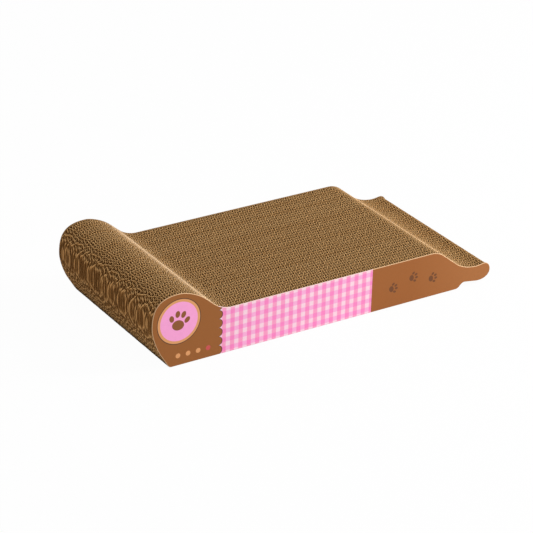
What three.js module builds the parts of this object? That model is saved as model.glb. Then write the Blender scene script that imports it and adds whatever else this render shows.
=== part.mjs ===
// Cat scratcher lounge: die-cut sheets of double-wall corrugated board stand on edge, glued face to
// face, and a printed panel closes each side. Every layer has nearly the same cut outline: a bolster
// roll at one end, a flat scratching seat, and a low curled tail at the other end.
// Millimetres, +Z up, +X from the roll to the tail, origin on the floor under the middle.

import * as THREE from "three";

// Overall sizes
const OVERALL_LENGTH = 556.5;
const OVERALL_WIDTH = 262.6;
const SEAT_HEIGHT = 67;
const ROLL_HEIGHT = 106;

// The stack across the width: the sheets share what the panels and the glue lines leave
const SHEET_COUNT = 40;
const PANEL_THICKNESS = 1.7;
const GLUE_LINE = 0.3;
const BOARDS_WIDTH = OVERALL_WIDTH - (SHEET_COUNT + 1) * GLUE_LINE;
const SHEET_THICKNESS = (BOARDS_WIDTH - 2 * PANEL_THICKNESS) / SHEET_COUNT;

// The bolster roll: its corners before they are rounded, with setbacks from the back of the roll
const HEEL_SETBACK = 26.6;
const HEEL_ROUNDING = 2;
const UNDERCUT_HEIGHT = 43.5;
const UNDERCUT_ROUNDING = 26;
const BULGE_HEIGHT = 64;
const CREST_SETBACK = 40.5;
const ROLL_FRONT = 61.3;
const ROLL_FRONT_ROUNDING = 26.3;
const ROLL_FULLNESS = 0.72;

// The seat between the foot of the roll and the ridge above the tail
const SEAT_START = 107;
const FOOT_ROUNDING = 14.5;
const RIDGE_ROUNDING = 10.7;

// The tail: its corners before they are rounded, with setbacks from the panels' tips. The sheets stop
// short of the panels there
const TIP_LAP = 2;
const RIDGE_SETBACK = 94.6;
const SCOOP_SETBACK = 41.6;
const SCOOP_HEIGHT = 25.1;
const SCOOP_ROUNDING = 24.2;
const TAIL_TOP = 32.4;
const TAIL_TOP_ROUNDING = 13.1;
const TIP_HEIGHT = 18.3;
const TAIL_UNDERSIDE = 1.3;
const TAIL_UNDERSIDE_ROUNDING = 24.8;
const NOTCH_SETBACK = 47.8;
const NOTCH_HEIGHT = 8.7;
const NOTCH_ROUNDING = 4;
const TOE_SETBACK = 55.7;
const TOE_ROUNDING = 4;

// Curves: how far a rounding leans into its corner, and the longest straight step along it
const FULLNESS = 0.55;
const CURVE_STEP = 5;
const SAME_POINT = 0.05;

const KRAFT = { color: 0xa47a4b, roughness: 0.9, metalness: 0 };
const PRINTED = { color: 0xf3a6c8, roughness: 0.6, metalness: 0 };

// A corner of the outline, with the reach of its rounding along the edges before and after it.
function corner(x, z, before, after = before, fullness = FULLNESS) {
  return { point: new THREE.Vector2(x, z), before, after, fullness };
}

// The point where a rounding leaves its edge. Two roundings that meet on an edge share its length.
function roundingEnd(from, towards, reach, otherReach) {
  const edge = from.point.distanceTo(towards.point);
  const limited = reach * Math.min(1, edge / (reach + otherReach));
  return from.point.clone().lerp(towards.point, limited / edge);
}

// A closed outline through the corners, each one eased by a cubic curve.
function roundedOutline(corners) {
  const points = corners.flatMap((here, index) => {
    const previous = corners.at(index - 1);
    const next = corners[(index + 1) % corners.length];
    const start = roundingEnd(here, previous, here.before, previous.after);
    const end = roundingEnd(here, next, here.after, next.before);
    const startHandle = start.clone().lerp(here.point, here.fullness);
    const endHandle = end.clone().lerp(here.point, here.fullness);
    const reach = start.distanceTo(here.point) + end.distanceTo(here.point);
    const steps = Math.max(2, Math.ceil(reach / CURVE_STEP));
    return new THREE.CubicBezierCurve(start, startHandle, endHandle, end).getPoints(steps);
  });
  return points.filter((point, index) => point.distanceTo(points.at(index - 1)) > SAME_POINT);
}

// The cut outline seen from the front, round from the heel along the floor to the tail and back. The tip
// is short of the overall length by a given trim.
function loungeOutline(trim) {
  const tail = OVERALL_LENGTH;
  const tip = tail - trim;
  return new THREE.Shape(roundedOutline([
    corner(HEEL_SETBACK, 0, HEEL_ROUNDING),
    corner(tail - TOE_SETBACK, 0, TOE_ROUNDING),
    corner(tail - NOTCH_SETBACK, NOTCH_HEIGHT, NOTCH_ROUNDING),
    corner(tip, TAIL_UNDERSIDE, TAIL_UNDERSIDE_ROUNDING, TIP_HEIGHT - TAIL_UNDERSIDE),
    corner(tip, TAIL_TOP, TAIL_TOP - TIP_HEIGHT, TAIL_TOP_ROUNDING),
    corner(tail - SCOOP_SETBACK, SCOOP_HEIGHT, SCOOP_ROUNDING),
    corner(tail - RIDGE_SETBACK, SEAT_HEIGHT, RIDGE_ROUNDING),
    corner(SEAT_START, SEAT_HEIGHT, FOOT_ROUNDING),
    corner(ROLL_FRONT, ROLL_HEIGHT, ROLL_FRONT_ROUNDING, ROLL_FRONT - CREST_SETBACK),
    corner(0, ROLL_HEIGHT, CREST_SETBACK, ROLL_HEIGHT - BULGE_HEIGHT, ROLL_FULLNESS),
    corner(0, UNDERCUT_HEIGHT, BULGE_HEIGHT - UNDERCUT_HEIGHT, UNDERCUT_ROUNDING),
  ]));
}

// One layer of board with the lounge's outline, standing on edge and centred on its own thickness.
function layerGeometry(outline, thickness) {
  const geometry = new THREE.ExtrudeGeometry(outline, { depth: thickness, bevelEnabled: false });
  return geometry.rotateX(Math.PI / 2).translate(-OVERALL_LENGTH / 2, thickness / 2, 0);
}

// The layers from the front panel to the back panel, a glue line apart.
function stackLayers(layers) {
  const stack = new THREE.Group();
  let front = -OVERALL_WIDTH / 2;
  for (const { name, geometry, thickness, finish } of layers) {
    const mesh = new THREE.Mesh(geometry, new THREE.MeshStandardMaterial(finish));
    mesh.name = name;
    mesh.position.y = front + thickness / 2;
    stack.add(mesh);
    front += thickness + GLUE_LINE;
  }
  return stack;
}

const sheetGeometry = layerGeometry(loungeOutline(TIP_LAP), SHEET_THICKNESS);
const panelGeometry = layerGeometry(loungeOutline(0), PANEL_THICKNESS);

const sheets = Array.from({ length: SHEET_COUNT }, (_, index) => ({
  name: `corrugated_sheet_${String(index + 1).padStart(2, "0")}`,
  geometry: sheetGeometry,
  thickness: SHEET_THICKNESS,
  finish: KRAFT,
}));
const panel = { geometry: panelGeometry, thickness: PANEL_THICKNESS, finish: PRINTED };

export default stackLayers([
  { ...panel, name: "side_panel_front" },
  ...sheets,
  { ...panel, name: "side_panel_back" },
]);
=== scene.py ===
import math

import bpy
import numpy as np
from mathutils import Matrix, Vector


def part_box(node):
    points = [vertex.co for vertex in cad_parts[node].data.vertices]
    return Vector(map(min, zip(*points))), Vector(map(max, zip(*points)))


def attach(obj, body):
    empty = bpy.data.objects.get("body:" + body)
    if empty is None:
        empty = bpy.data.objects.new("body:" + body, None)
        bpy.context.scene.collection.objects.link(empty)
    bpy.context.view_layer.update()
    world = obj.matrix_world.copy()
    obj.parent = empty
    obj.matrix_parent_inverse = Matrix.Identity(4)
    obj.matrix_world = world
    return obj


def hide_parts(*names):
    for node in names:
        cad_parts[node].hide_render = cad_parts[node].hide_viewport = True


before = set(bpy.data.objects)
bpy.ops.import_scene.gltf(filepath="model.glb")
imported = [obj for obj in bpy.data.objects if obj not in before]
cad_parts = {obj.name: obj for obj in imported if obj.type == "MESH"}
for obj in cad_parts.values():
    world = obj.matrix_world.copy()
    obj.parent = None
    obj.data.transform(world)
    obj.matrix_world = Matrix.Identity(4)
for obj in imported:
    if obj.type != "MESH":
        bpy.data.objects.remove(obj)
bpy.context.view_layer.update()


# The viewpoint: a long lens looks down on the roll and along the front panel from the left, with the
# photograph's slight tilt. The image is square, so the sensor's width is also its height.
camera_place = (-1.56465, -2.3830, 1.4387)
camera_turn = math.radians(32.98)
camera_drop = math.radians(26.27)
camera_tilt = math.radians(1.717)
lens_millimetres = 151.73
sensor_millimetres = 36.0

camera = bpy.data.objects.new("camera", bpy.data.cameras.new("camera"))
camera.data.lens = lens_millimetres
camera.data.sensor_width = sensor_millimetres
aim = Matrix.Rotation(-camera_turn, 4, "Z") @ Matrix.Rotation(math.pi / 2 - camera_drop, 4, "X")
camera.matrix_world = Matrix.Translation(camera_place) @ aim @ Matrix.Rotation(camera_tilt, 4, "Z")
bpy.context.scene.collection.objects.link(camera)
bpy.context.scene.camera = camera


# The corrugated sheets: double-wall kraft board, a C flute and a B flute between three flat liners,
# die-cut to one outline and stood on edge with the flutes upright. They are glued face to face, and
# each one is drawn out over the glue line to the next board.
sheet_names = sorted(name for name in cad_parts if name.startswith("corrugated_sheet"))
chance = np.random.default_rng(41)

# The papers, as thick as their frayed edges look, and the small roof that the die leaves on a cut edge
outer_liner = 0.00021
middle_liner = 0.00014
c_medium = 0.00084
b_medium = 0.00059
crest_skin = 0.00004
glue_slack = 0.00002
burr_height = 0.00015
burr_slope = 0.8

# The flutes' waves, how they stray and move on from sheet to sheet, and errors of stacking and cutting
c_flute_pitch = 0.00794
b_flute_pitch = 0.00658
c_flute_share = 0.59
flute_fullness = 1.8
flute_stretch = 0.004
flute_wander = 0.2
wander_length = 0.16
first_advance = 0.27
last_advance = 0.165
web_play = 0.03
stacking_slip = 0.0001
trim_error = 0.00004

# Steps of the mesh along the length and round the outline
flute_step = 0.00062
liner_step = 0.002
end_reach = 0.006
end_stations = 24
end_start = 0.02
straight_chord = 0.0065
points_per_chord = 6
sheet_crease = 45

# Where the kraft's painted light and shade change: lighter walls, the slopes' painted sheen, darker upright
# edges, the darker tip, and the painted contact shadow. A pair of places or facings goes from none of it to
# all of it
# Painted light: walls are painted lighter near the roll's back and in the tail
painted_light_back_reach = 0.036
painted_light_tail = (0.205, 0.235)
painted_light_tail_share = 0.35
# Painted sheen: the slopes that face the tail, from their tops to their feet
roll_slope_top = (-0.215, -0.2)
roll_slope_foot = (-0.178, -0.186)
tail_slope_top = (0.18, 0.19)
tail_slope_foot = (0.235, 0.22)
# The tail's tip, where cut edges facing the tail are darker
darker_tip = (0.248, 0.258)
# Painted contact shadow low under the roll: the heights where it starts and is full, and its reach from the
# roll's back
contact_shadow_height = (0.015, 0.003)
contact_shadow_reach = 0.12
# Painted shade: upright cut edges are painted darker than level ones
level_facing = (0.1, 0.6)
# Painted sheen: how far a cut edge faces the tail, for its paler colour
slope_facing = (0.3, 0.6)
tip_facing = (0.2, 0.5)

# The kraft's grain and the painted shade in its flutes: depths below the cut edge in metres, scales in
# waves per metre
edge_depth = 0.00003
# Painted light and shade: walls are painted pale down to this depth below the cut, and dark below it
lip_light_depth = 0.00014
# Painted sheen: on those slopes the pale lips reach this deep
slope_lip_light_depth = 0.0009
fibre_scale = (700, 60, 220)
fibre_share = 0.2
patch_scale = (18, 60, 18)
patch_share = 0.1
kraft_shine = 0.1
kraft_roughness = 0.82
fibre_roughness = 0.16
fibre_bump = 0.2
fibre_height = 0.0001

# The sheet's flat map: where its bands start, and how high they are
top_edge_band = 0.01
bottom_edge_band = 0.14
edge_band_height = 0.11
wall_band = 0.28
wall_band_height = 0.71


def board_corners(node):
    """The corners of a board's cut outline, in order round it. The outline has one lowest and one
    highest point at each x, so the line from its back to its tip parts the upper run from the lower."""
    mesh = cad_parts[node].data
    places = np.empty(3 * len(mesh.vertices))
    mesh.vertices.foreach_get("co", places)
    points = np.unique(places.reshape(-1, 3)[:, [0, 2]].round(6), axis=0)
    back, tip = points[0], points[-1]
    parting = np.interp(points[:, 0], [back[0], tip[0]], [back[1], tip[1]])
    upper = points[points[:, 1] >= parting]
    lower = points[points[:, 1] < parting]
    return np.vstack([upper, lower[::-1]])


def eased(points):
    """The closed curve through the corners: a cubic on each chord, whose heading at a corner blends
    those of its two chords, the shorter one most. A long chord is straight and sets the heading."""
    chord = np.roll(points, -1, axis=0) - points
    length = np.linalg.norm(chord, axis=1)[:, None]
    heading = chord / length
    before_length = np.roll(length, 1, axis=0)
    before_heading = np.roll(heading, 1, axis=0)
    blend = before_heading * length + heading * before_length
    blend = blend / np.linalg.norm(blend, axis=1)[:, None]
    blend = np.where(length > straight_chord, heading, blend)
    blend = np.where(before_length > straight_chord, before_heading, blend)
    t = (np.arange(points_per_chord) / points_per_chord)[None, :, None]
    start, end = points[:, None], np.roll(points, -1, axis=0)[:, None]
    leave = (blend * length)[:, None]
    arrive = (np.roll(blend, -1, axis=0) * length)[:, None]
    curve = (2 * t**3 - 3 * t**2 + 1) * start + (3 * t**2 - 2 * t**3) * end
    curve = curve + (t**3 - 2 * t**2 + t) * leave + (t**3 - t**2) * arrive
    return curve.reshape(-1, 2)


def outline_run(outline, x, upper):
    """An outline's height at x, along its upper or its lower run."""
    ends = np.vstack([outline[outline[:, 0].argmin()], outline[outline[:, 0].argmax()]])
    parting = np.interp(outline[:, 0], ends[:, 0], ends[:, 1])
    side = outline[outline[:, 1] > parting] if upper else outline[outline[:, 1] < parting]
    run = np.vstack([ends, side])
    run = run[run[:, 0].argsort(kind="stable")]
    return np.interp(x, run[:, 0], run[:, 1])


def stations(outline, step):
    """Places along the length, a step apart, that crowd together by their squares at both ends, where
    the cut turns upright."""
    crowd = end_reach * np.linspace(end_start, 1, end_stations) ** 2
    first, last = outline[:, 0].min(), outline[:, 0].max()
    count = int(round((last - first - 2 * end_reach) / step))
    middle = np.linspace(first + end_reach, last - end_reach, count)
    return np.concatenate([first + crowd[:-1], middle, last - crowd[-2::-1]])


def paper_web(x, front, back, low, high):
    """One paper on edge: at each place x it is a wall from its front to its back face, and from the low
    cut edge to the eaves of the high one, which the die left as a small roof. Walls and cut edges join
    into rings, closed by a cap at both ends. Each point keeps its distance from the top and the bottom
    cut, square to the slope of that cut. All but the front and back walls is marked as cut."""
    middle = (front + back) / 2
    eaves = high - np.minimum(burr_slope * (middle - front), burr_height)
    corners = ((front, low), (front, eaves), (middle, high), (back, eaves), (back, low), (middle, low))
    points = np.stack([np.column_stack([x, y, z]) for y, z in corners], axis=1).reshape(-1, 3)
    from_top = (high - low) / np.hypot(1, np.gradient(high, x))
    from_bottom = (high - low) / np.hypot(1, np.gradient(low, x))
    at_low = np.column_stack([from_top, np.zeros(len(x))])
    at_high = np.column_stack([np.zeros(len(x)), from_bottom])
    depth = np.stack([at_low, at_high, at_high, at_high, at_low, at_low], axis=1).reshape(-1, 2)

    ring = len(corners)
    here = ring * np.arange(len(x) - 1)[:, None]
    sides = []
    for side in range(ring):
        onward = (side + 1) % ring
        sides.append(here + [side, ring + side, ring + onward, onward])
    half_caps = np.array([[0, 1, 2, 5], [5, 2, 3, 4]])
    caps = np.vstack([half_caps, half_caps[:, ::-1] + ring * (len(x) - 1)])
    front_wall, back_wall = 0, 3
    is_cut = [side not in (front_wall, back_wall) for side in range(ring)]
    cut = np.repeat(is_cut + [True], [len(here)] * ring + [len(caps)])
    return points, np.vstack(sides + [caps]), cut, depth


def flute(x, pitch, phase, wander):
    """A medium's wave along x, from -1 to 1: a sine pressed flat at its crests, so that its flanks are
    steep. Its phase wanders slowly to and fro."""
    drift = flute_wander * np.sin(2 * np.pi * x / wander_length + wander)
    return (flute_fullness * np.sin(2 * np.pi * x / pitch + phase + drift)).clip(-1, 1)


def sheet_webs(front, back, turns):
    """The five papers of a double-wall sheet between two faces: liner, C flute, liner, B flute, liner.
    A medium's thickness is measured square to its wave, so it grows with the slope along y, and its
    crests sink into the glue on the liners, down to a thin skin."""
    slip = chance.uniform(-stacking_slip, stacking_slip)
    short = chance.uniform(0, trim_error)
    wanders = chance.uniform(0, 2 * np.pi, 2)
    stretches = chance.normal(1, flute_stretch, 2)

    def heights(x):
        low = outline_run(sheet_outline, x, False)
        return low, np.maximum(outline_run(sheet_outline, x, True) - short, low + c_medium)

    room = back - front - 2 * outer_liner - middle_liner
    c_front = front + outer_liner
    c_back = c_front + c_flute_share * room
    b_front = c_back + middle_liner
    b_back = back - outer_liner
    along = stations(sheet_outline, liner_step)
    level = np.zeros(len(along))
    webs = [paper_web(along + slip, level + near, level + far, *heights(along))
            for near, far in ((front, c_front), (c_back, b_front), (b_back, back))]
    along = stations(sheet_outline, flute_step)
    pitches = stretches * (c_flute_pitch, b_flute_pitch)
    for near, far, pitch, thickness, turn, wander in zip(
            (c_front, b_front), (c_back, b_back), pitches, (c_medium, b_medium), turns, wanders):
        near, far = near + glue_slack, far - glue_slack
        swing = (far - near + thickness) / 2 - crest_skin
        y = (near + far) / 2 + swing * flute(along, pitch, 2 * np.pi * turn, wander)
        half = thickness / 2 * np.hypot(1, np.gradient(y, along))
        faces = (y - half).clip(near, far), (y + half).clip(near, far)
        webs.append(paper_web(along + slip, *faces, *heights(along)))
    return webs


def join(webs):
    """All the papers of a sheet as one set of points, quads, cut marks and depths."""
    points, quads, cuts, depths = zip(*webs)
    first = np.cumsum([0] + [len(web) for web in points[:-1]])
    quads = [web + start for web, start in zip(quads, first)]
    return np.vstack(points), np.vstack(quads), np.concatenate(cuts), np.vstack(depths)


def quad_object(name, points, quads, crease):
    """A mesh object at the origin from arrays of points and quads, smooth but for folds past a crease
    in degrees."""
    mesh = bpy.data.meshes.new(name)
    mesh.vertices.add(len(points))
    mesh.vertices.foreach_set("co", points.ravel())
    mesh.loops.add(quads.size)
    mesh.loops.foreach_set("vertex_index", quads.ravel())
    mesh.polygons.add(len(quads))
    mesh.polygons.foreach_set("loop_start", np.arange(0, quads.size, 4))
    mesh.polygons.foreach_set("use_smooth", np.ones(len(quads), bool))
    mesh.update(calc_edges=True)
    mesh.set_sharp_from_angle(angle=math.radians(crease))
    piece = bpy.data.objects.new(name, mesh)
    bpy.context.scene.collection.objects.link(piece)
    return piece


def mark_points(mesh, name, values):
    """Three numbers for each point, which a material reads by their name."""
    marks = mesh.attributes.new(name, "FLOAT_VECTOR", "POINT")
    marks.data.foreach_set("vector", np.asarray(values, np.float32).ravel())


def lay_out(mesh, across, up):
    """The flat map that a piece's finish is drawn out on: a place across and up for each face corner."""
    layer = mesh.uv_layers.new(name="OFBake")
    layer.uv.foreach_set("vector", np.column_stack([across, up]).astype(np.float32).ravel())


class Field:
    """A number, place or colour that changes over a surface: one output in a material's nodes.
    Arithmetic on it adds Math nodes, and node() adds a node of any other kind."""

    def __init__(self, socket):
        self.socket = socket

    def node(self, kind, settings, sockets, output=0):
        """One output of a new node, with these settings and with fields or plain values in its sockets."""
        tree = self.socket.id_data
        made = tree.nodes.new(kind)
        for name, value in settings.items():
            setattr(made, name, value)
        for key, value in sockets.items():
            if isinstance(value, Field):
                tree.links.new(value.socket, made.inputs[key])
            else:
                made.inputs[key].default_value = value
        return Field(made.outputs[output])

    def math(self, operation, *values):
        return self.node("ShaderNodeMath", {"operation": operation}, dict(enumerate(values)))

    def __add__(self, other):
        return self.math("ADD", self, other)

    def __radd__(self, other):
        return self.math("ADD", other, self)

    def __sub__(self, other):
        return self.math("SUBTRACT", self, other)

    def __rsub__(self, other):
        return self.math("SUBTRACT", other, self)

    def __mul__(self, other):
        return self.math("MULTIPLY", self, other)

    def __rmul__(self, other):
        return self.math("MULTIPLY", other, self)

    def __truediv__(self, other):
        return self.math("DIVIDE", self, other)

    def axis(self, name):
        return self.node("ShaderNodeSeparateXYZ", {}, {0: self}, output=name)

    def noise(self, scale, detail=2.0):
        """Noise over this place, from 0 to 1, with its own scale on each axis."""
        grain = self.node("ShaderNodeMapping", {}, {"Vector": self, "Scale": scale})
        return grain.node("ShaderNodeTexNoise", {}, {"Vector": grain, "Scale": 1.0, "Detail": detail})

    def ramp(self, start, end):
        """0 where this field is at start or before it, rising evenly to 1 at end."""
        sockets = {"Value": self, "From Min": start, "From Max": end}
        return self.node("ShaderNodeMapRange", {}, sockets)

    def mix(self, under, over):
        """The colour under, covered by the colour over as far as this field goes from 0 to 1."""
        return self.node("ShaderNodeMix", {"data_type": "RGBA"}, {0: self, 6: under, 7: over}, output=2)

    def feed(self, shader, name):
        self.socket.id_data.links.new(self.socket, shader.inputs[name])

    def emboss(self, shader, strength, distance):
        """This field as the height of a bump on the shader's surface."""
        sockets = {"Strength": strength, "Distance": distance, "Height": self}
        self.node("ShaderNodeBump", {}, sockets).feed(shader, "Normal")


def ink(red, green, blue):
    """A colour as it looks on screen, from 0 to 255, as the linear colour that a shader takes. The screen's
    curve is the standard one: a straight start, then a power of 2.4."""
    share = np.array([red, green, blue]) / 255
    linear = np.where(share <= 0.04045, share / 12.92, ((share + 0.055) / 1.055) ** 2.4)
    return (*linear.tolist(), 1.0)


def surface(name, shine):
    """A new material, its shader, and the place on the object as a field."""
    material = bpy.data.materials.new(name)
    material.use_nodes = True
    tree = material.node_tree
    shader = tree.nodes["Principled BSDF"]
    shader.inputs["Specular IOR Level"].default_value = shine
    return material, shader, Field(tree.nodes.new("ShaderNodeTexCoord").outputs["Object"])


def kraft_board():
    """Uncoated kraft, with painted shade in its flutes: walls painted deep brown, and pale near their cut
    edges as painted light, a tone of its own in each sheet, and short fibres. The walls are painted lighter
    at the roll's back and in the tail. On the two slopes that face the tail the pale lips are paler and
    reach deeper, and cut edges facing the tail are paler, both a painted sheen. Cut edges are painted
    darker where they stand upright, as painted shade, and are darker where they face the tail at its tip.
    A painted contact shadow lies dark low under the roll. Walls follow length, height and depth below the
    cut alone, so the two sides of a wall match."""
    material, shader, place = surface("kraft_board", kraft_shine)
    x, z = place.axis("X"), place.axis("Z")
    roll_back = sheet_outline[:, 0].min()
    marks = place.node("ShaderNodeAttribute", {"attribute_name": "cut_depth"}, {}, output="Vector")
    depth = marks.math("MINIMUM", marks.axis("X"), marks.axis("Y"))
    tone = marks.axis("Z")
    grain = place.node("ShaderNodeCombineXYZ", {}, {"X": x, "Y": tone, "Z": z})
    fibre = grain.noise(fibre_scale)
    patch = grain.noise(patch_scale)

    # Painted light: lighter walls near the roll's back and, partly, in the tail
    pale = x.ramp(roll_back + painted_light_back_reach, roll_back) + painted_light_tail_share * x.ramp(*painted_light_tail)
    # Painted shade: the walls' deep brown stands in for the dark depths of the flutes
    wall = pale.mix(tone.mix(ink(60, 31, 2), ink(72, 40, 5)), ink(132, 88, 42))
    # Painted sheen: on the slopes that face the tail the lips are painted paler and reach deeper
    on_slope = x.ramp(*roll_slope_top) * x.ramp(*roll_slope_foot)
    on_slope = on_slope + x.ramp(*tail_slope_top) * x.ramp(*tail_slope_foot)
    # Painted light: pale lips at the walls' tops, fading by depth into the painted shade below
    lip = tone.mix(ink(234, 182, 118), ink(242, 194, 131))
    lip = on_slope.mix(lip, ink(242, 206, 168))
    lip_light = depth.ramp(lip_light_depth, 0.0)
    lip_light = lip_light.math("MAXIMUM", lip_light, on_slope * depth.ramp(slope_lip_light_depth, 0.0))

    facing = place.node("ShaderNodeNewGeometry", {}, {}, output="True Normal")
    level = facing.math("ABSOLUTE", facing.axis("Z")).ramp(*level_facing)
    tip = x.ramp(*darker_tip)
    # Painted sheen: cut edges facing the tail are painted paler, but not at the tip
    painted_sheen = facing.axis("X").ramp(*slope_facing) * (1 - tip)
    tip_darkening = facing.axis("X").ramp(*tip_facing) * tip
    edge = tone.mix(ink(238, 184, 119), ink(250, 200, 136))
    # Painted shade: cut edges that stand upright are painted darker
    edge = level.mix(ink(206, 152, 94), edge)
    edge = painted_sheen.mix(edge, ink(250, 222, 184))
    # Cut edges that face the tail at its tip are darker
    edge = tip_darkening.mix(edge, ink(176, 126, 72))

    # The cut edge itself, then the lips' painted light over the walls' painted shade
    colour = depth.ramp(0.0, edge_depth).mix(edge, lip_light.mix(wall, lip))
    colour = (fibre * fibre_share).mix(colour, ink(104, 67, 24))
    colour = (patch * patch_share).mix(colour, ink(150, 106, 50))
    # Painted contact shadow: dark low under the roll's overhang, near its back
    painted_contact_shadow = z.ramp(*contact_shadow_height) * x.ramp(roll_back + contact_shadow_reach, roll_back)
    colour = painted_contact_shadow.mix(colour, ink(34, 20, 8))
    colour.feed(shader, "Base Color")
    (kraft_roughness + fibre_roughness * fibre).feed(shader, "Roughness")
    fibre.emboss(shader, fibre_bump, fibre_height)
    return material


def sheet_map(points, quads, cut):
    """Walls lie on the upper part of the map by length and height. The cut edges lie below it as they
    are seen from above, by length and depth through the sheet: the top edges, then the bottom edges."""
    corner = points[quads]
    across = (corner[..., 0] - points[:, 0].min()) / np.ptp(points[:, 0])
    through = (corner[..., 1] - points[:, 1].min()) / np.ptp(points[:, 1])
    rise = corner[..., 2] / points[:, 2].max()
    runs = [outline_run(sheet_outline, corner[..., 0], upper) for upper in (True, False)]
    halfway = np.mean(runs, axis=0)
    below = (corner[..., 2] < halfway).all(axis=1)
    edge_band = np.where(below, bottom_edge_band, top_edge_band)[:, None] + edge_band_height * through
    up = np.where(cut[:, None], edge_band, wall_band + wall_band_height * rise)
    return across.ravel().clip(0, 1), up.ravel().clip(0, 1)


sheet_outline = eased(board_corners(sheet_names[0]))
kraft = kraft_board()
boards_behind = sheet_names[1:] + ["side_panel_back"]
# Sheets are cut one after another from one web, so the flutes move on by a like share of a pitch each time
advances = np.linspace(first_advance, last_advance, len(sheet_names))[:, None]
flute_turns = np.cumsum(chance.normal(advances, web_play, (len(sheet_names), 2)), axis=0)
for node, behind, turns in zip(sheet_names, boards_behind, flute_turns):
    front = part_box(node)[0][1]
    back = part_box(behind)[0][1] - glue_slack
    points, quads, cut, depth = join(sheet_webs(front, back, turns))
    sheet = quad_object(f"board_{node}", points, quads, sheet_crease)
    sheet.data.materials.append(kraft)
    tone = np.full(len(points), chance.uniform())
    mark_points(sheet.data, "cut_depth", np.column_stack([depth, tone]))
    lay_out(sheet.data, *sheet_map(points, quads, cut))
    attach(sheet, "root")
    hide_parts(node)


# The side panels: a pale printed board backed with brown kraft, die-cut a little past the sheets at the
# tail and glued over the first and the last sheet. The print runs to the cut edge, where the plies show.
panel_bevel = 0.0005
panel_step = 0.003
panel_crease = 30
lining_thickness = 0.0008
printed, cut_edge, inside = 0, 1, 2

# The gingham's repeat, the middles of its pale stripes, and the borders with the brown ends
check_pitch = 0.0133
check_x = 0.01132
check_z = 0.0
cloth_end = 0.07175
# Painted light: the tail's brown is painted lighter across this span towards the tip
brown_light_fade = (0.14, 0.25)
roll_border = -0.17725
scallop_depth = 0.006
scallop_line = 0.0011

# The roundel, the row of dots below it, and the paw prints
roundel = (-0.23775, 0.0655)
roundel_radii = (0.0335, 0.0324, 0.0285)
roundel_paw_size = 0.0185
roundel_paw_turn = 0.25
first_dot = (-0.23875, 0.0145)
dot_spacing = 0.0155
dot_radius = 0.0036
first_paw = (0.108, 0.029)
paw_count = 3
paw_stride = 0.034
paw_sway = 0.009
paw_size = 0.0095
paw_turn = 1.35

# The finish of the print and of the cut plies: scales in waves per metre
ink_edge = 0.00025
print_shine = 0.2
print_roughness = 0.42
mottle_scale = (160, 160, 160)
mottle_detail = 4.0
mottle_share = 0.1
mottle_roughness = 0.16
tooth_scale = (1400, 1400, 1400)
tooth_bump = 0.1
tooth_height = 0.0002
ply_scale = (700, 2500, 700)
ply_shade = 0.5
lining_shade = 0.3
ply_roughness = 0.8

# The panel's flat map: where its rows start, and how high they are
roll_row = 0.01
tail_row = 0.40
row_height = 0.37
inside_band = 0.79
inside_band_height = 0.14
edge_strip = 0.95
edge_strip_height = 0.04


def panel_shell(outer, inner):
    """A slab between two faces: rings of the outline, the outermost and innermost drawn in by the bevel
    along the outline's own normal. Each face is filled by quads from the upper to the lower run. Each
    quad's zone says whether it is printed, cut edge or inside."""
    x = stations(panel_outline, panel_step)
    upper = np.column_stack([x, outline_run(panel_outline, x, True)])
    lower = np.column_stack([x, outline_run(panel_outline, x, False)])
    loop = np.vstack([upper, lower[::-1]])
    heading = np.roll(loop, -1, axis=0) - np.roll(loop, 1, axis=0)
    heading = heading / np.linalg.norm(heading, axis=1)[:, None]
    drawn_in = loop + panel_bevel * np.column_stack([heading[:, 1], -heading[:, 0]])
    step = math.copysign(panel_bevel, inner - outer)
    rings = ((drawn_in, outer), (loop, outer + step), (loop, inner - step), (drawn_in, inner))
    points = np.vstack([np.insert(ring, 1, y, axis=1) for ring, y in rings])
    size = len(loop)
    here = np.arange(size)
    onward = np.roll(here, -1)
    band = np.column_stack([here, onward, onward + size, here + size])
    bands = [band + ring * size for ring in range(len(rings) - 1)]
    k = np.arange(len(x) - 1)
    face = np.column_stack([k, size - 1 - k, size - 2 - k, k + 1])
    inner_face = face[:, ::-1] + (len(rings) - 1) * size
    quads = np.vstack([face] + bands + [inner_face])
    zone = np.repeat([printed, cut_edge, inside], [len(face), len(bands) * size, len(face)])
    return points, quads if inner > outer else quads[:, ::-1], zone


def crisp(distance):
    """1 where a distance in metres is positive, 0 where it is negative, with an edge as soft as ink."""
    return distance.ramp(-ink_edge / 2, ink_edge / 2)


def stripes(along, pale_middle, pitch):
    """Even stripes, 1 on the dark half of each pitch and 0 on the pale half."""
    turn = (along - pale_middle) / pitch + 0.5
    off_middle = turn.math("FRACT", turn) - 0.5
    return crisp((off_middle.math("ABSOLUTE", off_middle) - 0.25) * pitch)


def ellipse(page, middle, radii, turn=0.0):
    """A filled ellipse: 1 where the place, moved, turned and scaled to a unit circle, is within 1."""
    sockets = {"Vector": page, "Location": (middle[0], 0, middle[1]), "Rotation": (0, turn, 0),
               "Scale": (radii[0], 1, radii[1])}
    unit = page.node("ShaderNodeMapping", {"vector_type": "TEXTURE"}, sockets)
    reach = unit.node("ShaderNodeVectorMath", {"operation": "LENGTH"}, {0: unit}, output="Value")
    return crisp((1 - reach) * min(radii))


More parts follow.
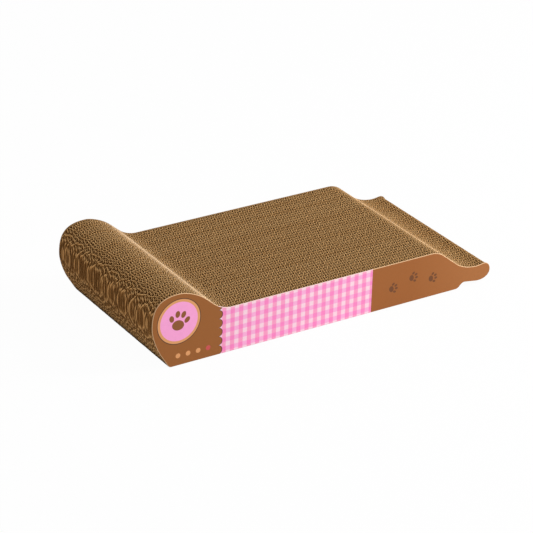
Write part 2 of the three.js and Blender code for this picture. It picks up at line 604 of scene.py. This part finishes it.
def paw_print(page, middle, size, turn):
    """A paw print: one broad pad, and four toes fanned over it. Turn is its heading from upright. The
    places and radii of its spots are shares of its size."""
    pad_up = -0.3
    pad_radii = (0.5, 0.4)
    toe_radii = (0.19, 0.27)
    right_toes = ((0.25, 0.55, 0.15), (0.66, 0.16, 0.5))

    def spot(across, up, radii, lean):
        x = middle[0] + size * (across * math.cos(turn) + up * math.sin(turn))
        z = middle[1] + size * (up * math.cos(turn) - across * math.sin(turn))
        return ellipse(page, (x, z), (size * radii[0], size * radii[1]), turn + lean)

    mark = spot(0, pad_up, pad_radii, 0)
    for across, up, lean in right_toes:
        for side in (-1, 1):
            mark = mark.math("MAXIMUM", mark, spot(side * across, up, toe_radii, side * lean))
    return mark


def printed_face():
    """The print, by length and height: a pink gingham check between two brown ends, the tail's painted
    lighter towards its tip as a painted light gradient. The roll's end has a scalloped border, a roundel
    with a paw print and a row of dots, and small paw prints walk towards the tail."""
    material, shader, place = surface("printed_face", print_shine)
    x, z = place.axis("X"), place.axis("Z")
    page = x.node("ShaderNodeCombineXYZ", {}, {"X": x, "Z": z})
    dark, pink, tan, red = ink(74, 52, 40), ink(253, 167, 217), ink(226, 160, 104), ink(205, 84, 84)
    upright, level = stripes(x, check_x, check_pitch), stripes(z, check_z, check_pitch)
    pale = level.mix(ink(252, 216, 228), ink(251, 178, 219))
    deep = level.mix(ink(251, 162, 199), ink(251, 138, 198))
    colour = upright.mix(pale, deep)
    # Painted light: the brown gets lighter towards the tail's tip
    brown = x.ramp(*brown_light_fade).mix(ink(157, 94, 43), ink(167, 105, 55))
    colour = crisp(x - cloth_end).mix(colour, brown)

    turn = z / check_pitch
    off_middle = turn.math("FRACT", turn) * 2 - 1
    bulge = 1 - off_middle * off_middle
    border = roll_border + scallop_depth * bulge.math("SQRT", bulge)
    colour = crisp(border + scallop_line - x).mix(colour, dark)
    colour = crisp(border - x).mix(colour, ink(153, 94, 43))

    for radius, shade in zip(roundel_radii, (dark, tan, pink)):
        colour = ellipse(page, roundel, (radius, radius)).mix(colour, shade)
    mark = paw_print(page, roundel, roundel_paw_size, roundel_paw_turn)
    colour = mark.mix(colour, ink(143, 88, 48))
    for step, shade in enumerate((tan, tan, tan, red)):
        middle = (first_dot[0] + dot_spacing * step, first_dot[1])
        colour = ellipse(page, middle, (dot_radius, dot_radius)).mix(colour, shade)
    for step in range(paw_count):
        middle = (first_paw[0] + paw_stride * step, first_paw[1] + paw_sway * (step % 2))
        colour = paw_print(page, middle, paw_size, paw_turn).mix(colour, ink(112, 68, 38))

    mottle = place.noise(mottle_scale, mottle_detail)
    colour = (mottle * mottle_share).mix(colour, ink(120, 78, 52))
    colour.feed(shader, "Base Color")
    (print_roughness + mottle_roughness * mottle).feed(shader, "Roughness")
    place.noise(tooth_scale).emboss(shader, tooth_bump, tooth_height)
    return material


def cut_plies():
    """The cut edge and the back: brown kraft, with the pale lining under the print drawn over the edge of
    the front panel and tinged by its ink. The back panel was cut from its other side."""
    material, shader, place = surface("cut_plies", kraft_shine)
    x, y = place.axis("X"), place.axis("Y")
    lining = crisp(lining_thickness - panel_outside - y)
    check = crisp(x - roll_border) * crisp(cloth_end - x)
    fibre = place.noise(ply_scale)
    brown = (fibre * ply_shade).mix(ink(140, 102, 62), ink(112, 78, 44))
    pale = check.mix(ink(234, 194, 152), ink(250, 222, 222))
    pale = (fibre * lining_shade).mix(pale, ink(206, 166, 128))
    lining.mix(brown, pale).feed(shader, "Base Color")
    (ply_roughness + fibre_roughness * fibre).feed(shader, "Roughness")
    fibre.emboss(shader, fibre_bump, fibre_height)
    return material


def panel_map(points, quads, zone):
    """The printed face fills the lower part of the map in two rows, the roll's half below the tail's.
    The inner face lies small above them, and the cut edges in a strip at the top."""
    corner = points[quads]
    zone = zone[:, None]
    along = (corner[..., 0] - points[:, 0].min()) / np.ptp(points[:, 0])
    rise = corner[..., 2] / points[:, 2].max()
    through = (corner[..., 1] - points[:, 1].min()) / np.ptp(points[:, 1])
    tail_half = (along.mean(axis=1) > 0.5)[:, None]
    across = np.where(zone == printed, 2 * along - tail_half, along)
    row = np.where(tail_half, tail_row, roll_row) + row_height * rise
    band = inside_band + inside_band_height * rise
    strip = edge_strip + edge_strip_height * through
    up = np.select([zone == printed, zone == inside], [row, band], strip)
    return across.ravel().clip(0, 1), up.ravel().clip(0, 1)


panel_outline = eased(board_corners("side_panel_front"))
panel_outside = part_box("side_panel_back")[1][1]
print_finish = printed_face()
ply_finish = cut_plies()
for node in ("side_panel_front", "side_panel_back"):
    low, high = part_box(node)
    if node == "side_panel_front":
        outer, inner = low[1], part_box(sheet_names[0])[0][1] - glue_slack
    else:
        outer, inner = high[1], low[1]
    points, quads, zone = panel_shell(outer, inner)
    panel = quad_object(f"board_{node}", points, quads, panel_crease)
    panel.data.materials.append(print_finish)
    panel.data.materials.append(ply_finish)
    panel.data.polygons.foreach_set("material_index", (zone != printed).astype(np.int32))
    lay_out(panel.data, *panel_map(points, quads, zone))
    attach(panel, "root")
    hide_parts(node)


# The studio: a wide pale floor that shows white to the camera and keeps the soft shadow, an even white
# surround, and one broad lamp high on the right of the front.
white = (1, 1, 1, 1)
floor_reach = 8.0
floor_grey = (0.8, 0.8, 0.8, 1)
floor_glow = 0.97
surround_light = 0.58
lamp_place = (2.1, -1.15, 1.5)
lamp_turn = math.radians(61)
lamp_tilt = math.radians(58)
lamp_width = 1
lamp_power = 66


def seen_rays(tree):
    """One for the rays that show the studio, to the camera or in a shiny face, and none for its light."""
    rays = tree.nodes.new("ShaderNodeLightPath").outputs
    return Field(rays["Is Camera Ray"]) + Field(rays["Is Glossy Ray"]) + Field(rays["Is Transmission Ray"])


floor_mesh = bpy.data.meshes.new("floor")
floor_corners = [(-floor_reach, -floor_reach, 0), (floor_reach, -floor_reach, 0),
                 (floor_reach, floor_reach, 0), (-floor_reach, floor_reach, 0)]
floor_mesh.from_pydata(floor_corners, [], [(0, 1, 2, 3)])
floor = bpy.data.objects.new("floor", floor_mesh)
bpy.context.scene.collection.objects.link(floor)

floor_paint = bpy.data.materials.new("floor_paint")
floor_paint.use_nodes = True
tree = floor_paint.node_tree
tree.nodes.clear()
seen = seen_rays(tree)
matt = seen.node("ShaderNodeBsdfDiffuse", {}, {"Color": floor_grey})
glow = seen.node("ShaderNodeEmission", {}, {"Color": white, "Strength": 1.0})
mixed = seen.node("ShaderNodeMixShader", {}, {0: seen * floor_glow, 1: matt, 2: glow})
tree.links.new(mixed.socket, tree.nodes.new("ShaderNodeOutputMaterial").inputs["Surface"])
floor_mesh.materials.append(floor_paint)

world = bpy.data.worlds.new("surround")
bpy.context.scene.world = world
world.use_nodes = True
surround = world.node_tree.nodes["Background"]
surround.inputs["Color"].default_value = white
(surround_light + (1 - surround_light) * seen_rays(world.node_tree)).feed(surround, "Strength")

lamp = bpy.data.objects.new("lamp", bpy.data.lights.new("lamp", "AREA"))
lamp.data.shape = "DISK"
lamp.data.size = lamp_width
lamp.data.energy = lamp_power
lamp_aim = Matrix.Rotation(lamp_turn, 4, "Z") @ Matrix.Rotation(lamp_tilt, 4, "X")
lamp.matrix_world = Matrix.Translation(lamp_place) @ lamp_aim
bpy.context.scene.collection.objects.link(lamp)

bpy.context.scene.view_settings.view_transform = "Standard"
